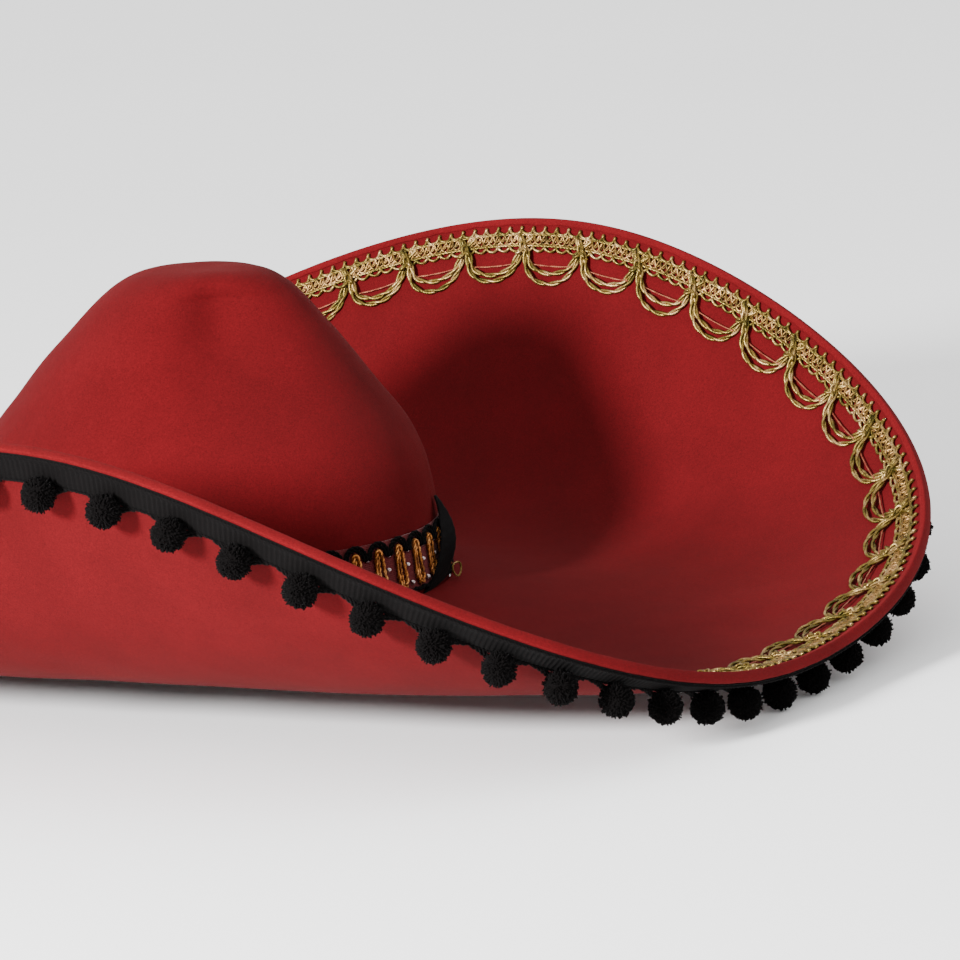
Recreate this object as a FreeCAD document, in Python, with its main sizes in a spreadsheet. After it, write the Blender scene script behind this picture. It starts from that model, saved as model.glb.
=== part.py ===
import FreeCAD, Part
import Sketcher
import math
import os

# A broad-brimmed felt sombrero. X runs from side to side, -Y is the front and +Z is up.
# The origin is on the table under the middle of the crown. The shapes are worked out with
# Z = 0 on the brim's middle surface at the crown's foot, and every sub-part is then lifted
# so that the lowest pompoms stand on the table.

os.makedirs("parts", exist_ok=True)
doc = FreeCAD.newDocument("sombrero")
Vector = FreeCAD.Vector

SIZES = (
    # alias, millimetres (or a plain number), what it is
    ("crown_half_width", 88.6, "crown foot, middle to side, outside"),
    ("crown_half_length", 106.3, "crown foot, middle to front, outside"),
    ("crown_height", 134, "brim to the crown's top"),
    ("crown_lean", 7, "how far the crown's top leans to the front"),
    ("crown_foot_depth", 2, "how far the crown reaches below the brim's middle surface"),
    ("crown_felt", 2.2, "thickness of the crown's felt"),
    ("pinch_depth", 20, "depth of the pinches in two opposite faces of the crown"),
    ("pinch_height", 106, "height of the middle of each pinch"),
    ("pinch_reach", 40, "height over which a pinch fades out"),
    ("stiffener_thickness", 0.8, "buckram shell inside the crown"),
    ("stiffener_rise", 4, "brim to the stiffener's lower edge"),
    ("lining_thickness", 0.5, "satin lining"),
    ("lining_rise", 42, "brim to the lining's lower edge"),
    ("sweatband_thickness", 1.2, "sweatband"),
    ("sweatband_top", 38, "brim to the sweatband's upper edge"),
    ("brim_radius", 274.8, "mean radius of the rim"),
    ("brim_oval", 32.4, "how much further out the rim's ends are than its mean, and its sides further in"),
    ("brim_squareness", 12, "fullness of the rim at its four corners"),
    ("brim_lobes", 5.7, "fullness of the sides and of the flats beside the ends"),
    ("rim_height", 45.6, "mean height of the rim above the crown's foot"),
    ("rim_upturn", 62.6, "how far the sides turn up and the ends turn down"),
    ("rim_lobes", 2, "how much the upturned sides flatten at their middle"),
    ("rim_front_lift", 9.6, "how much higher the front corners are than the back ones"),
    ("corner_dip", 10, "how much lower the rim is at its back right corner than a mirrored one"),
    ("corner_angle", 56, "place of that corner round the hat, in degrees"),
    ("corner_spread", 20, "angle over which the dip fades out, in degrees"),
    ("brim_sag", 13.4, "depth of the trough halfway out"),
    ("brim_curl", 8.4, "the last upward curl of the edge"),
    ("brim_bend", 2.88, "power of the brim's upward curve"),
    ("brim_felt", 1.1, "thickness of each brim felt"),
    ("board_thickness", 0.9, "stiff board between the brim felts"),
    ("board_inset", 3, "rim to the board's outer edge"),
    ("wire_diameter", 0.9, "rim wire"),
    ("wire_inset", 1.5, "rim to the wire's middle"),
    ("binding_thickness", 0.6, "rim binding"),
    ("binding_depth", 2.4, "how far the binding reaches in from the rim"),
    ("glue_gap", 0.1, "clearance between glued or sewn layers"),
    ("crown_gap", 1, "clearance between the brim layers and the crown"),
    ("tape_inset", 2.8, "rim to the pompom tape"),
    ("tape_width", 11.5, "pompom tape"),
    ("tape_thickness", 1, "pompom tape"),
    ("pompom_diameter", 14, "each pompom"),
    ("pompom_pitch", 28.3, "distance from pompom to pompom"),
    ("pompom_drop", 2.7, "how far a pompom slips down a steep brim"),
    ("pompom_inset", 11, "rim to where a pompom hangs"),
    ("pompom_thread", 0.8, "diameter of the threads that carry a pompom"),
    ("thread_spread", 5, "half the distance between a pompom's two threads"),
    ("braid_inset", 3.8, "rim to the gold braid's header"),
    ("header_width", 10.8, "header of the gold braid"),
    ("header_thickness", 1, "header of the gold braid"),
    ("scallop_pitch", 30, "distance from scallop to scallop"),
    ("scallop_gap", 2.5, "a scallop's outer cord, centre line, to the middle between two scallops"),
    ("scallop_step", 3, "outer cord to inner cord of a scallop, centre lines"),
    ("braid_cord", 1.8, "diameter of the gold cord"),
    ("knot_diameter", 4.2, "knot between two scallops"),
    ("chord_thread", 0.7, "thread across each scallop"),
    ("hatband_rise", 2.8, "brim to the hatband's lower edge"),
    ("hatband_height", 24, "red ground ribbon of the hatband"),
    ("hatband_thickness", 0.7, "red ground ribbon of the hatband"),
    ("hatband_pitch", 11.5, "distance from gold loop to gold loop"),
    ("loop_length", 16.5, "gold loop, centre line, foot to top"),
    ("loop_gap", 5.1, "gold loop to gold loop, centre lines"),
    ("loop_cord", 1.3, "diameter of the gold loops' cord"),
    ("arch_gap", 0.85, "a black arch, centre line, to the middle between two arches"),
    ("arch_cord", 1.2, "diameter of the black arches' cord"),
    ("foot_cord", 1.8, "black cord along the hatband's foot"),
    ("keeper_width", 30, "ribbon over the hatband's joint"),
    ("keeper_overhang", 9, "hatband's top to the keeper's upper edge"),
    ("keeper_thickness", 1.2, "ribbon over the hatband's joint"),
    ("keeper_angle", -78, "place of the keeper round the crown, in degrees"),
    ("tie_radius", 3, "gold thread loop on the keeper"),
    ("tie_angle", -73, "place of that loop round the crown, in degrees"),
    ("stitch_diameter", 0.8, "thread of the brim seam"),
    ("stitch_length", 5, "one stitch of the brim seam"),
    ("stitch_pitch", 10, "distance from stitch to stitch in the brim seam"),
    ("fine_stitch_diameter", 0.5, "thread of the sweatband seam"),
    ("fine_stitch_length", 3.2, "one stitch of the sweatband seam"),
    ("fine_stitch_pitch", 6, "distance from stitch to stitch in the sweatband seam"),
)

# The crown's outline from its foot to its top, as shares of its half length and height.
CROWN_OUTLINE = (
    (1.0, 0.0), (0.972, 0.185), (0.937, 0.37), (0.87, 0.487), (0.778, 0.585),
    (0.672, 0.694), (0.53, 0.822), (0.41, 0.92), (0.305, 0.973), (0.05, 1.0),
)
LEAN_START = 0.3   # share of the crown's height where its lean starts
PINCH_ANGLES = (-128, 52)   # middle of each pinch round the crown, in degrees
PINCH_SPREAD = 40   # angle over which a pinch fades out, in degrees
TURN = 2 * math.pi
RING_POINTS = 48   # points of each ring wire
SMALL = 1e-3   # step for slopes

sheet = doc.addObject("Spreadsheet::Sheet", "Sizes")
for row, (alias, value, meaning) in enumerate(SIZES, 1):
    sheet.set(f"A{row}", alias)
    sheet.set(f"B{row}", str(value))
    sheet.setAlias(f"B{row}", alias)
    sheet.set(f"C{row}", meaning)
doc.recompute()

subparts = []


def size(alias):
    return float(sheet.get(alias))


# ---- the crown's surface

crown_height = size("crown_height")
crown_outline = Part.BSplineCurve()
crown_outline.interpolate([Vector(share, 0, height) for share, height in CROWN_OUTLINE])


def oval(angle, half_width, half_length):
    """Radius of an ellipse at an angle."""
    return 1 / math.hypot(math.cos(angle) / half_width, math.sin(angle) / half_length)


def pinch(angle, height):
    """Depth of the crown's two pinches at a place on it."""
    depth = 0
    for middle in PINCH_ANGLES:
        turn = (math.degrees(angle) - middle + 180) % 360 - 180
        away = (turn / PINCH_SPREAD) ** 2 + ((height - size("pinch_height")) / size("pinch_reach")) ** 2
        depth += size("pinch_depth") * math.exp(-away)
    return depth


def crown_point(angle, along):
    """A point of the crown's outer face; along is 0 at its foot and 1 at its top."""
    at = crown_outline.value(crown_outline.LastParameter * along)
    height = at.z * crown_height
    radius = oval(angle, size("crown_half_width") * at.x, size("crown_half_length") * at.x)
    radius -= pinch(angle, height) * min(1, at.x / 0.4) ** 2
    lean = size("crown_lean") * (max(at.z - LEAN_START, 0) / (1 - LEAN_START)) ** 1.5
    return Vector(radius * math.cos(angle), radius * math.sin(angle) - lean, height)


def unit(vector):
    return vector * (1 / vector.Length)


def crown_frame(angle, along):
    """Point, direction round the crown, direction up its wall and outward normal."""
    low, high = max(along - SMALL, 0), min(along + SMALL, 1)
    around = unit(crown_point(angle + SMALL, along) - crown_point(angle - SMALL, along))
    up = unit(crown_point(angle, high) - crown_point(angle, low))
    normal = unit(around.cross(up))
    return crown_point(angle, along), around, normal.cross(around), normal


def along_at_height(height):
    """Where on the crown's outline a height lies."""
    low, high = 0, 1
    for _ in range(40):
        middle = (low + high) / 2
        at = crown_outline.value(crown_outline.LastParameter * middle)
        low, high = (middle, high) if at.z * crown_height < height else (low, middle)
    return low


def on_crown(angle, height, offset):
    """A point at a height, an offset out from the crown's outer face. Below the foot the wall is upright."""
    along = along_at_height(max(height, 0))
    point, _, _, normal = crown_frame(angle, along)
    return point + normal * offset + Vector(0, 0, min(height, 0))


# ---- the brim's surface

def rim_point(angle):
    """Radius and height of the rim at an angle round the hat."""
    double, fourfold, sixfold = (math.cos(fold * angle) for fold in (2, 4, 6))
    radius = size("brim_radius") - size("brim_oval") * double - size("brim_squareness") * fourfold
    radius += size("brim_lobes") * sixfold
    height = size("rim_height") + size("rim_upturn") * double - size("rim_lobes") * sixfold
    height -= size("rim_front_lift") * (math.sin(angle) + math.sin(3 * angle))
    turn = (math.degrees(angle) - size("corner_angle") + 180) % 360 - 180
    height -= size("corner_dip") * math.exp(-(turn / size("corner_spread")) ** 2)
    return radius, height


def brim_point(angle, share):
    """A point of the brim's middle surface; share is 0 at the crown and 1 at the rim."""
    foot = oval(angle, size("crown_half_width"), size("crown_half_length"))
    radius, height = rim_point(angle)
    radius = foot + (radius - foot) * share
    rise = (height - size("brim_curl")) * share ** size("brim_bend")
    rise += size("brim_curl") * share ** 8 - 4 * size("brim_sag") * share * (1 - share)
    return Vector(radius * math.cos(angle), radius * math.sin(angle), rise)


def brim_frame(angle, share):
    """Point, direction round the brim, direction in towards the crown and upper normal."""
    inner = brim_point(angle, max(share - SMALL, 0))
    inward = unit(inner - brim_point(angle, share + SMALL))
    around = unit(brim_point(angle + SMALL, share) - brim_point(angle - SMALL, share))
    normal = unit(around.cross(inward))
    return brim_point(angle, share), around, inward, normal


def share_from_rim(angle, distance, steps=8):
    """The share that lies a distance in from the rim, measured along the brim."""
    share = 1.0
    for _ in range(steps):
        stretch = (brim_point(angle, share + SMALL) - brim_point(angle, share - SMALL)).Length
        share -= distance / steps * 2 * SMALL / stretch
    return share


def share_from_crown(angle, distance):
    return distance / (brim_point(angle, SMALL) - brim_point(angle, 0)).Length * SMALL


def on_brim(angle, distance, offset):
    """A point a distance in from the rim and an offset above the brim's middle surface."""
    point, _, _, normal = brim_frame(angle, share_from_rim(angle, distance))
    return point + normal * offset


# ---- shapes round the crown and the brim

def ring(place):
    """A closed smooth wire through the points that place(angle) gives."""
    curve = Part.BSplineCurve()
    points = [place(TURN * k / RING_POINTS) for k in range(RING_POINTS)]
    curve.interpolate(points, PeriodicFlag=True)
    return Part.Wire([curve.toShape()])


def strip(near, far):
    """The ruled face between two rings."""
    return Part.makeRuledSurface(near.Edges[0], far.Edges[0])


def closed_solid(faces):
    shell = Part.makeShell(faces)
    shell.sewShape()
    return Part.Solid(shell)


def solid_between(upper, lower, ends=()):
    """A solid between two rows of rings. Flat ends close it where the last rings don't meet."""
    faces = Part.makeLoft(upper, False, False).Faces + Part.makeLoft(lower, False, False).Faces
    faces.append(strip(upper[0], lower[0]))
    if ends:
        faces += [Part.Face(wire) for wire in ends]
    else:
        faces.append(strip(upper[-1], lower[-1]))
    return closed_solid(faces)


def hoop(corners):
    """A solid hoop whose section is a polygon; each corner is a function of the angle."""
    rings = [ring(corner) for corner in corners]
    return closed_solid([strip(near, far) for near, far in zip(rings, rings[1:] + rings[:1])])


def brim_corner(distance, offset):
    return lambda angle: on_brim(angle, distance, offset)


def crown_corner(height, offset):
    return lambda angle: on_crown(angle, height, offset)


def cord_hoop(corner, across, offset, diameter, sides=8):
    """A thin cord round the brim or the crown, with an eight-sided section."""
    radius = diameter / 2
    places = [(across + radius * math.cos(TURN * k / sides), offset + radius * math.sin(TURN * k / sides))
              for k in range(sides)]
    return hoop([corner(*place) for place in places])


def keep(item, name):
    item.Label = name
    subparts.append(item)
    return item


def feature(name, shape):
    item = doc.addObject("Part::Feature", name)
    item.Shape = shape
    return keep(item, name)


def group(name, pieces):
    item = doc.addObject("Part::Compound", name)
    item.Links = pieces
    return keep(item, name)


def primitive(kind, place, **formulas):
    item = doc.addObject(kind, kind.split("::")[1])
    for prop, formula in formulas.items():
        item.setExpression(prop, formula)
    item.Placement = place
    return item


def placed(at, x_axis, y_axis, z_axis):
    return FreeCAD.Placement(at, FreeCAD.Rotation(x_axis, y_axis, z_axis, "ZXY"))


def even_angles(place, pitch, start=0, multiple=1):
    """Angles of points spaced evenly along the closed curve that place(angle) gives."""
    fine = 1440
    angles = [start + TURN * k / fine for k in range(fine + 1)]
    points = [place(angle) for angle in angles]
    lengths = [0]
    for near, far in zip(points, points[1:]):
        lengths.append(lengths[-1] + (far - near).Length)
    count = multiple * round(lengths[-1] / pitch / multiple)
    found, at = [], 0
    for k in range(count):
        wanted = lengths[-1] * (k + 0.5) / count
        while lengths[at + 1] < wanted:
            at += 1
        part = (wanted - lengths[at]) / (lengths[at + 1] - lengths[at])
        found.append(angles[at] + part * (angles[at + 1] - angles[at]))
    return found, lengths[-1] / count / 2


# ---- heights of the brim's layers over its middle surface

glue = size("glue_gap")
board_top = size("board_thickness") / 2
felt_low = board_top + glue
felt_top = felt_low + size("brim_felt")
skin = felt_top + glue   # where trim lies on either felt


def brim_layer(name, low, high, outer_distance, rows=14):
    """One layer of the brim, from the crown out to a distance from the rim."""
    def row(part, offset):
        def place(angle):
            start = share_from_crown(angle, size("crown_gap"))
            end = share_from_rim(angle, outer_distance)
            point, _, _, normal = brim_frame(angle, start + (end - start) * part)
            return point + normal * offset
        return ring(place)

    upper = [row(k / (rows - 1), high) for k in range(rows)]
    lower = [row(k / (rows - 1), low) for k in range(rows)]
    return feature(name, solid_between(upper, lower))


def build_brim():
    brim_layer("brim_top_felt", felt_low, felt_top, 0)
    brim_layer("brim_board", -board_top, board_top, size("board_inset"))
    brim_layer("brim_under_felt", -felt_top, -felt_low, 0)
    feature("rim_wire", cord_hoop(brim_corner, size("wire_inset"), 0, size("wire_diameter")))
    depth, thick = size("binding_depth"), size("binding_thickness")
    outside = skin + thick
    profile = (
        (depth, skin), (depth, outside), (0, outside), (-glue - thick, skin * 0.6),
        (-glue - thick, -skin * 0.6), (0, -outside), (depth, -outside), (depth, -skin),
        (-glue, -skin), (-glue, skin),
    )
    feature("rim_binding", hoop([brim_corner(*corner) for corner in profile]))


# ---- crown

def crown_shell(name, start_height, outer, inner, rows=12):
    """A shell inside the crown's face, from a height up over the top."""
    start = along_at_height(max(start_height, 0))

    def row(part, offset):
        along = start + (1 - start) * part

        def place(angle):
            point, _, _, normal = crown_frame(angle, along)
            if part == 1:
                normal = Vector(0, 0, 1)
            if part == 0:
                normal = unit(Vector(normal.x, normal.y, 0))
                point = Vector(point.x, point.y, start_height)
            return point - normal * offset
        return ring(place)

    parts = [k / (rows - 1) for k in range(rows)]
    upper = [row(part, outer) for part in parts]
    lower = [row(part, inner) for part in parts]
    return feature(name, solid_between(upper, lower, (upper[-1], lower[-1])))


def build_crown():
    felt = size("crown_felt")
    stiff_out = felt + glue
    stiff_in = stiff_out + size("stiffener_thickness")
    lining_out = stiff_in + glue
    crown_shell("crown_felt", -size("crown_foot_depth"), 0, felt)
    crown_shell("crown_stiffener", size("stiffener_rise"), stiff_out, stiff_in)
    crown_shell("crown_lining", size("lining_rise"), lining_out, lining_out + size("lining_thickness"))


def oval_sketch(body, name, height, width, length):
    """An ellipse on a level plane of a body; its height and two full sizes are formulas."""
    sketch = body.newObject("Sketcher::SketchObject", name)
    plane = next(o for o in body.Origin.OriginFeatures if o.Role == "XY_Plane")
    sketch.AttachmentSupport = [(plane, "")]
    sketch.MapMode = "FlatFace"
    sketch.setExpression("AttachmentOffset.Base.z", height)
    axes = [(sketch.evalExpression(length), Vector(0, 0.5, 0), "Vertical", "length", length),
            (sketch.evalExpression(width), Vector(0.5, 0, 0), "Horizontal", "width", width)]
    axes.sort(key=lambda axis: -axis[0])
    long_end, short_end = (direction * full for full, direction, *_ in axes)
    ellipse = sketch.addGeometry(Part.Ellipse(long_end, short_end, Vector(0, 0, 0)))
    sketch.exposeInternalGeometry(ellipse)
    sketch.addConstraint(Sketcher.Constraint("Coincident", ellipse, 3, -1, 1))
    sketch.addConstraint(Sketcher.Constraint(axes[0][2], 1))
    for line, (full, _, _, name, formula) in enumerate(axes, 1):
        constraint = sketch.addConstraint(Sketcher.Constraint("Distance", line, full))
        sketch.renameConstraint(constraint, name)
        sketch.setExpression(f"Constraints.{name}", formula)
    return sketch


def sweatband_inset(height):
    """How much narrower and shorter the crown's wall is at a height than at its foot."""
    wall = along_at_height(height)
    side, end = crown_point(0, wall).x, crown_point(math.pi / 2, wall).y
    return size("crown_half_width") - side, size("crown_half_length") - end


def build_sweatband():
    """A tapered oval band that lies inside the crown's foot."""
    body = doc.addObject("PartDesign::Body", "sweatband")
    layers = "Sizes.crown_felt + Sizes.stiffener_thickness + 4 * Sizes.glue_gap"
    narrower, shorter = sweatband_inset(size("sweatband_top"))
    ends = (("foot", "-Sizes.crown_foot_depth", 0, 0), ("top", "Sizes.sweatband_top", narrower, shorter))
    for kind, thickness in (("Additive", "0"), ("Subtractive", "Sizes.sweatband_thickness")):
        sketches = []
        for end, height, less_width, less_length in ends:
            inset = f"{layers} + {thickness}"
            sketches.append(oval_sketch(
                body, f"{kind.lower()}_{end}", height,
                f"2 * (Sizes.crown_half_width - {less_width:.4f} - {inset.replace(' + ', ' - ')})",
                f"2 * (Sizes.crown_half_length - {less_length:.4f} - {inset.replace(' + ', ' - ')})"))
        loft = body.newObject(f"PartDesign::{kind}Loft", f"{kind.lower()}_loft")
        loft.Profile = sketches[0]
        loft.Sections = sketches[1:]
        doc.recompute()
    keep(body, "sweatband")


# ---- stitches

def stitch(at, direction, sideways, diameter, length):
    """A short straight stitch whose middle is at a point."""
    half = size(length) / 2
    place = placed(at - direction * half, sideways, direction.cross(sideways), direction)
    return primitive("Part::Cylinder", place, Radius=f"Sizes.{diameter} / 2", Height=f"Sizes.{length}")


def build_stitches():
    """The brim seam under the crown's foot, and the running stitch round the sweatband."""
    drop = felt_top + size("crown_foot_depth") / 2 + size("stitch_diameter")
    middle = size("crown_gap") / 2

    def seam(angle):
        point, _, _, normal = crown_frame(angle, 0)
        return point + normal * middle - Vector(0, 0, drop)

    pieces = []
    for angle in even_angles(seam, size("stitch_pitch"))[0]:
        _, around, _, normal = crown_frame(angle, 0)
        out = unit(Vector(normal.x, normal.y, 0))
        pieces.append(stitch(seam(angle), out, around, "stitch_diameter", "stitch_length"))
    group("brim_seam_stitching", pieces)

    inside = size("crown_felt") + size("stiffener_thickness") + 5 * glue + size("sweatband_thickness")
    inside += size("fine_stitch_diameter") * 0.75
    rise = size("fine_stitch_length")

    def running(angle):
        point, _, _, normal = crown_frame(angle, 0)
        narrower, shorter = sweatband_inset(size("sweatband_top"))
        lean = (narrower + shorter) / 2 * (rise + size("crown_foot_depth"))
        lean /= size("sweatband_top") + size("crown_foot_depth")
        return point - unit(Vector(normal.x, normal.y, 0)) * (inside + lean) + Vector(0, 0, rise)

    pieces = []
    for angle in even_angles(running, size("fine_stitch_pitch"))[0]:
        _, around, up, _ = crown_frame(angle, 0)
        pieces.append(stitch(running(angle), around, up, "fine_stitch_diameter", "fine_stitch_length"))
    group("sweatband_stitching", pieces)


# ---- pompom trim, on the brim's outer face

def pompom_frame(angle):
    """Centre of a pompom that hangs at an angle, and the directions round and out of the brim."""
    share = share_from_rim(angle, size("pompom_inset"))
    point, around, inward, normal = brim_frame(angle, share)
    steepness = max(-inward.z, 0)
    clear = skin + size("tape_thickness") + 2 * glue + size("pompom_diameter") / 2
    centre = point - normal * clear + inward * size("pompom_drop") * steepness
    return centre, around, normal * -1


def build_pompoms():
    tape_low = skin + size("tape_thickness")
    near, far = size("tape_inset"), size("tape_inset") + size("tape_width")
    corners = ((near, -skin), (far, -skin), (far, -tape_low), (near, -tape_low))
    feature("pompom_tape", hoop([brim_corner(*corner) for corner in corners]))
    front = -math.pi / 2
    angles, half = even_angles(lambda angle: pompom_frame(angle)[0], size("pompom_pitch"), front, 4)
    balls, threads = [], []
    for angle in angles:
        centre, around, out = pompom_frame(angle)
        balls.append(primitive("Part::Sphere", FreeCAD.Placement(centre, FreeCAD.Rotation()),
                               Radius="Sizes.pompom_diameter / 2"))
        for side in (-1, 1):
            turn = side * size("thread_spread") / (2 * half) * TURN / len(angles)
            start = on_brim(angle + turn, far - size("pompom_thread"), -tape_low - size("pompom_thread"))
            direction = unit(centre - start)
            reach = (centre - start).Length - size("pompom_diameter") / 2 - glue
            thread = primitive("Part::Cylinder", placed(start, around, direction.cross(around), direction),
                               Radius="Sizes.pompom_thread / 2")
            thread.Height = reach
            threads.append(thread)
    group("pompoms", balls)
    group("pompom_threads", threads)
    return size("pompom_diameter") / 2 - min(ball.Placement.Base.z for ball in balls)


# ---- gold braid, on the brim's inner face

def build_braid():
    low, high = skin, skin + size("header_thickness")
    near, far = size("braid_inset"), size("braid_inset") + size("header_width")
    corners = ((near, low), (near, high), (far, high), (far, low))
    feature("braid_header", hoop([brim_corner(*corner) for corner in corners]))
    cord = size("braid_cord")
    radius = size("scallop_pitch") / 2 - size("scallop_gap")
    inner_radius = radius - size("scallop_step")
    lift = skin + cord / 2 + 3 * glue
    top = far + cord / 2 + glue
    angles, _ = even_angles(brim_corner(top, lift), size("scallop_pitch"))
    turn = TURN / len(angles) / 2
    outer, inner, knots, threads = [], [], [], []
    for k, angle in enumerate(angles):
        beside = angles[(k + 1) % len(angles)]
        left, right = on_brim(angle - turn, top, lift), on_brim(angle + turn, top, lift)
        middle, tip = (left + right) * 0.5, on_brim(angle, top + radius, lift)
        x_axis = unit(right - left)
        z_axis = unit(x_axis.cross(tip - middle))
        place = placed(on_brim(angle, top, lift), x_axis, z_axis.cross(x_axis), z_axis)
        for found, step in ((outer, ""), (inner, " - Sizes.scallop_step")):
            found.append(primitive("Part::Torus", place, Radius2="Sizes.braid_cord / 2",
                                   Radius1=f"Sizes.scallop_pitch / 2 - Sizes.scallop_gap{step}"))
            found[-1].Angle3 = 180
        start = place.multVec(Vector(-inner_radius + cord, cord, 0))
        inward = place.Rotation.multVec(Vector(0, 1, 0))
        thread = primitive("Part::Cylinder", placed(start, inward, z_axis, x_axis),
                           Radius="Sizes.chord_thread / 2")
        thread.Height = 2 * (inner_radius - cord)
        threads.append(thread)
        between = (angle + (beside if beside > angle else beside + TURN)) / 2
        at = on_brim(between, top + size("knot_diameter"), skin + size("knot_diameter") / 2 + 2 * glue)
        knots.append(primitive("Part::Sphere", FreeCAD.Placement(at, FreeCAD.Rotation()),
                               Radius="Sizes.knot_diameter / 2"))
    group("braid_outer_scallops", outer)
    group("braid_inner_scallops", inner)
    group("braid_knots", knots)
    group("braid_cross_threads", threads)


# ---- hatband, round the crown's foot

def racetrack(place, width, length, diameter):
    """A closed cord with two straight sides and two round ends, upright in a frame."""
    half, reach, middle = width / 2, (length - width) / 2, diameter / 2
    foot_left, foot_right = Vector(-half, -reach, 0), Vector(half, -reach, 0)
    top_left, top_right = Vector(-half, reach, 0), Vector(half, reach, 0)
    path = Part.Wire([
        Part.LineSegment(foot_right, top_right).toShape(),
        Part.Arc(top_right, Vector(0, reach + half, 0), top_left).toShape(),
        Part.LineSegment(top_left, foot_left).toShape(),
        Part.Arc(foot_left, Vector(0, -reach - half, 0), foot_right).toShape(),
    ])
    section = Part.Wire([Part.Circle(foot_right, Vector(0, 1, 0), middle).toShape()])
    cord = path.makePipeShell([section], True, False)
    cord.Placement = place
    return cord


def wall_place(angle, height, offset):
    """A frame on the crown's wall: X round it, Y up it and Z out of it."""
    _, around, up, normal = crown_frame(angle, along_at_height(height))
    return placed(on_crown(angle, height, offset), around, up, normal)


def build_hatband():
    foot, top = size("hatband_rise"), size("hatband_rise") + size("hatband_height")
    low, high = glue, glue + size("hatband_thickness")
    corners = ((foot, low), (foot, high), (top, high), (top, low))
    feature("hatband_ribbon", hoop([crown_corner(*corner) for corner in corners]))
    cord, black = size("foot_cord"), high + glue
    feature("hatband_foot_cord", cord_hoop(crown_corner, foot + cord / 2, black + cord / 2, cord))

    loop_low = foot + cord + size("loop_cord")
    loop_middle = loop_low + size("loop_length") / 2
    loop_offset = high + 3 * glue + size("loop_cord") / 2
    angles, _ = even_angles(crown_corner(loop_middle, loop_offset), size("hatband_pitch"))
    loop_width = size("hatband_pitch") - size("loop_gap")
    arch_height = loop_low + size("loop_length") - loop_width / 2
    loops, arches = [], []
    for angle in angles:
        loop_place = wall_place(angle, loop_middle, loop_offset)
        loops.append(racetrack(loop_place, loop_width, size("loop_length"), size("loop_cord")))
        arch = primitive("Part::Torus", wall_place(angle, arch_height, loop_offset),
                         Radius1="Sizes.hatband_pitch / 2 - Sizes.arch_gap", Radius2="Sizes.arch_cord / 2")
        arch.Angle3 = 180
        arches.append(arch)
    feature("hatband_gold_loops", Part.makeCompound(loops))
    group("hatband_arches", arches)

    keeper_low = loop_offset + size("loop_cord") / 2 + 4 * glue
    keeper_high = keeper_low + size("keeper_thickness")
    keeper_top = top + size("keeper_overhang")
    corners = ((foot, keeper_low), (foot, keeper_high), (keeper_top, keeper_high), (keeper_top, keeper_low))
    whole = hoop([crown_corner(*corner) for corner in corners])
    reach, width = 2 * size("crown_half_length"), size("keeper_width")
    slab = Part.makeBox(reach, width, 2 * reach, Vector(0, -width / 2, -reach))
    slab.rotate(Vector(0, 0, 0), Vector(0, 0, 1), size("keeper_angle"))
    feature("hatband_keeper", whole.common(slab).Solids[0])

    thread = size("loop_cord")
    tie_offset = keeper_high + glue + thread / 2 + glue
    tie_height = foot + size("tie_radius") + thread
    tie_place = wall_place(math.radians(size("tie_angle")), tie_height, tie_offset)
    tie = primitive("Part::Torus", tie_place, Radius1="Sizes.tie_radius", Radius2="Sizes.loop_cord / 2")
    keep(tie, "hatband_tie")


build_crown()
build_brim()
build_sweatband()
build_stitches()
lift = build_pompoms()
build_braid()
build_hatband()

for item in subparts:
    item.Placement = FreeCAD.Placement(Vector(0, 0, lift), FreeCAD.Rotation()).multiply(item.Placement)
doc.recompute()

# ---- checks and files

for item in doc.Objects:
    if "Invalid" in item.State or "Error" in item.State:
        raise RuntimeError(f"{item.Label} failed: {item.State}")
for item in subparts:
    if item.Shape.isNull() or not item.Shape.isValid():
        raise RuntimeError(f"{item.Label} has no valid shape")
    item.Shape.exportStep(f"parts/{item.Label}.step")
    print(item.Label, len(item.Shape.Solids), "solids", round(item.Shape.Volume), "mm3")
print("lift", round(lift, 3))
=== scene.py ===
import math

import bmesh
import bpy
import numpy as np
from mathutils import Matrix, Vector


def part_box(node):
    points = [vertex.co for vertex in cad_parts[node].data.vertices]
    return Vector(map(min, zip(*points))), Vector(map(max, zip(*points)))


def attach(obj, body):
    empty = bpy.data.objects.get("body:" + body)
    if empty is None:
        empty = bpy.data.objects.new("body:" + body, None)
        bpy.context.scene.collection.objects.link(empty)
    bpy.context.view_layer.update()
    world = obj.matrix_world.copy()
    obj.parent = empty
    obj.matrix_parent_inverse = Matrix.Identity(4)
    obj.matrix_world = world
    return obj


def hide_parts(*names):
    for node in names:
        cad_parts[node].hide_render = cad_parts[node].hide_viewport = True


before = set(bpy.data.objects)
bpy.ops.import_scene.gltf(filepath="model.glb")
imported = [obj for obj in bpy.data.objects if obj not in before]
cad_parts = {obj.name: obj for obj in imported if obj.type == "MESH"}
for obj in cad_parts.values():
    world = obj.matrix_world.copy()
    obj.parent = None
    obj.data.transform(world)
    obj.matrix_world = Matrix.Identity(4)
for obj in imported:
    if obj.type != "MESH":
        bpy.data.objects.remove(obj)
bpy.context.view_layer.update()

# A red felt sombrero with gold braid, a looped hatband and a black pompom trim. Metres, in
# the CAD frame: X from side to side, -Y the front, +Z up, the origin on the table.

# ---- sizes: the CAD model's, but for slimmer gold loops, a tie moved 3 degrees and finer cords

CROWN_HALF_WIDTH, CROWN_HALF_LENGTH, CROWN_HEIGHT = 0.0886, 0.1063, 0.134
CROWN_LEAN, CROWN_FOOT_DEPTH, CROWN_FELT = 0.007, 0.002, 0.0022
PINCH_DEPTH, PINCH_HEIGHT, PINCH_REACH = 0.020, 0.106, 0.040
PINCH_ANGLES, PINCH_SPREAD, LEAN_START = (-128, 52), 40, 0.3
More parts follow.
